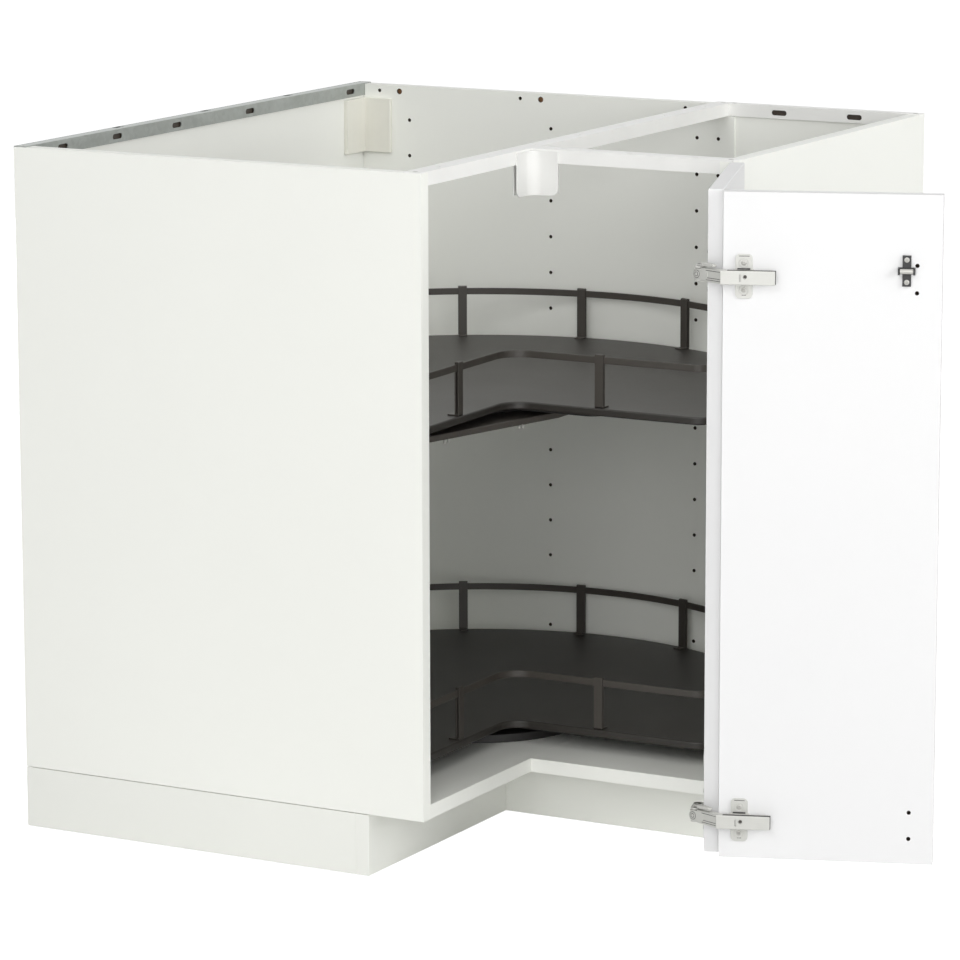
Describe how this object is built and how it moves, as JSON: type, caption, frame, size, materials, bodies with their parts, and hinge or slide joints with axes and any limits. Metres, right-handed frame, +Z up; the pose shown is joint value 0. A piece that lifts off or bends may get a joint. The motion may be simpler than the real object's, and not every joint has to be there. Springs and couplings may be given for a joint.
{
  "type": "corner carousel cabinet",
  "caption": "Corner kitchen base cabinet with an L-shaped carcass, revolving three-quarter round shelves with guard rails, and a hinged folding pair of corner doors.",
  "frame": {"origin": "the room corner at floor level, where the cabinet's two rear sides meet", "axes": "+X along the right-hand wall, -Y along the left-hand wall, +Z up"},
  "size_m": [1.2131, 0.864, 0.88],
  "materials": {
    "white_board": "smooth white melamine board, satin",
    "raw_wood": "raw hardwood",
    "galvanised": "galvanised sheet, dull",
    "white_metal": "white powder coat, satin",
    "zinc": "zinc plated, satin",
    "white_plastic": "white moulded plastic",
    "cream_plastic": "cream moulded plastic",
    "black_plastic": "black moulded plastic",
    "cream_board": "cream melamine board, satin",
    "dark_board": "dark brown-grey laminate, satin",
    "dark_metal": "dark brown-grey powder coat, satin",
    "black_metal": "black powder coat, satin",
    "nickel": "satin nickel plate",
    "door_white": "white foil-wrapped board, satin"
  },
  "bodies": {
    "carcass": {"left_side_panel": "white_board", "right_side_panel": "white_board", "back_side_panel": "white_board", "dowels": "raw_wood", "rear_panel_left": "white_board", "rear_panel_right": "white_board", "bottom_panel_main": "white_board", "bottom_panel_wing": "white_board", "rear_rail_left": "galvanised", "rear_rail_right": "white_metal", "front_rail_long": "white_metal", "front_rail_short": "white_metal", "rail_screws": "zinc", "rail_corner_cover": "white_plastic", "rear_corner_angle": "cream_plastic", "leg_tubes": "black_plastic", "plinth_side": "cream_board", "plinth_front_left": "cream_board", "plinth_front_right": "cream_board", "plinth_clips": "black_plastic", "support_beam": "dark_metal", "beam_brackets": "dark_metal", "beam_screws": "zinc", "upper_turntable_base": "black_metal", "lower_turntable_base": "black_metal", "cabinet_hinge_plates": "nickel", "cabinet_hinge_arms": "nickel", "hinge_screws_cabinet": "zinc"},
    "upper_carousel": {"upper_turntable_plate": "black_metal", "upper_shelf": "dark_board", "upper_guard_strip": "dark_metal", "upper_guard_posts": "dark_metal"},
    "lower_carousel": {"lower_turntable_plate": "black_metal", "lower_shelf": "dark_board", "lower_guard_strip": "dark_metal", "lower_guard_posts": "dark_metal"},
    "hinge_links": {"cabinet_hinge_links": "nickel"},
    "inner_door": {"door_hinge_side": "door_white", "cabinet_hinge_cups": "nickel", "corner_hinge_cups": "nickel", "corner_hinge_pins": "zinc", "hinge_screws_inner_door": "zinc"},
    "free_door": {"door_free_side": "door_white", "corner_hinge_arms": "nickel", "corner_hinge_covers": "nickel", "corner_hinge_plates": "nickel", "hinge_screws_free_door": "zinc", "catch_bracket": "black_plastic", "catch_screws": "zinc"},
    "catch_roller_body": {"catch_roller": "zinc"},
    "foot_1_body": {"foot_1": "black_plastic"},
    "foot_2_body": {"foot_2": "black_plastic"},
    "foot_3_body": {"foot_3": "black_plastic"},
    "foot_4_body": {"foot_4": "black_plastic"},
    "foot_5_body": {"foot_5": "black_plastic"},
    "foot_6_body": {"foot_6": "black_plastic"}
  },
  "joints": [
    {"name": "upper_carousel_turn", "type": "hinge", "parent": "carcass", "child": "upper_carousel", "pos_m": [0.42, -0.42, 0.536], "axis": [0, 0, 1], "range_deg": [-360, 360]},
    {"name": "lower_carousel_turn", "type": "hinge", "parent": "carcass", "child": "lower_carousel", "pos_m": [0.42, -0.42, 0.118], "axis": [0, 0, 1], "range_deg": [-360, 360]},
    {"name": "door_swing", "type": "hinge", "parent": "carcass", "child": "inner_door", "pos_m": [0.8627, -0.5891, 0.48], "axis": [0, 0, 1], "range_deg": [-110, 0]},
    {"name": "hinge_link_swing", "type": "hinge", "parent": "carcass", "child": "hinge_links", "pos_m": [0.8627, -0.5891, 0.48], "axis": [0, 0, 1], "range_deg": [-55, 0]},
    {"name": "door_fold", "type": "hinge", "parent": "inner_door", "child": "free_door", "pos_m": [0.94041, -0.83505, 0.48], "axis": [0, 0, -1], "range_deg": [0, 75]},
    {"name": "catch_roller_turn", "type": "hinge", "parent": "free_door", "child": "catch_roller_body", "pos_m": [1.17662, -0.77356, 0.7905], "axis": [-0.9397, -0.342, 0], "continuous": true},
    {"name": "foot_1_turn", "type": "hinge", "parent": "carcass", "child": "foot_1_body", "pos_m": [0.06, -0.06, 0], "axis": [0, 0, 1], "continuous": true},
    {"name": "foot_2_turn", "type": "hinge", "parent": "carcass", "child": "foot_2_body", "pos_m": [0.06, -0.804, 0], "axis": [0, 0, 1], "continuous": true},
    {"name": "foot_3_turn", "type": "hinge", "parent": "carcass", "child": "foot_3_body", "pos_m": [0.439, -0.804, 0], "axis": [0, 0, 1], "continuous": true},
    {"name": "foot_4_turn", "type": "hinge", "parent": "carcass", "child": "foot_4_body", "pos_m": [0.439, -0.439, 0], "axis": [0, 0, 1], "continuous": true},
    {"name": "foot_5_turn", "type": "hinge", "parent": "carcass", "child": "foot_5_body", "pos_m": [0.804, -0.439, 0], "axis": [0, 0, 1], "continuous": true},
    {"name": "foot_6_turn", "type": "hinge", "parent": "carcass", "child": "foot_6_body", "pos_m": [0.804, -0.06, 0], "axis": [0, 0, 1], "continuous": true}
  ],
  "couplings": [
    {"joint": "hinge_link_swing", "follows": "door_swing", "ratio": 0.5}
  ]
}
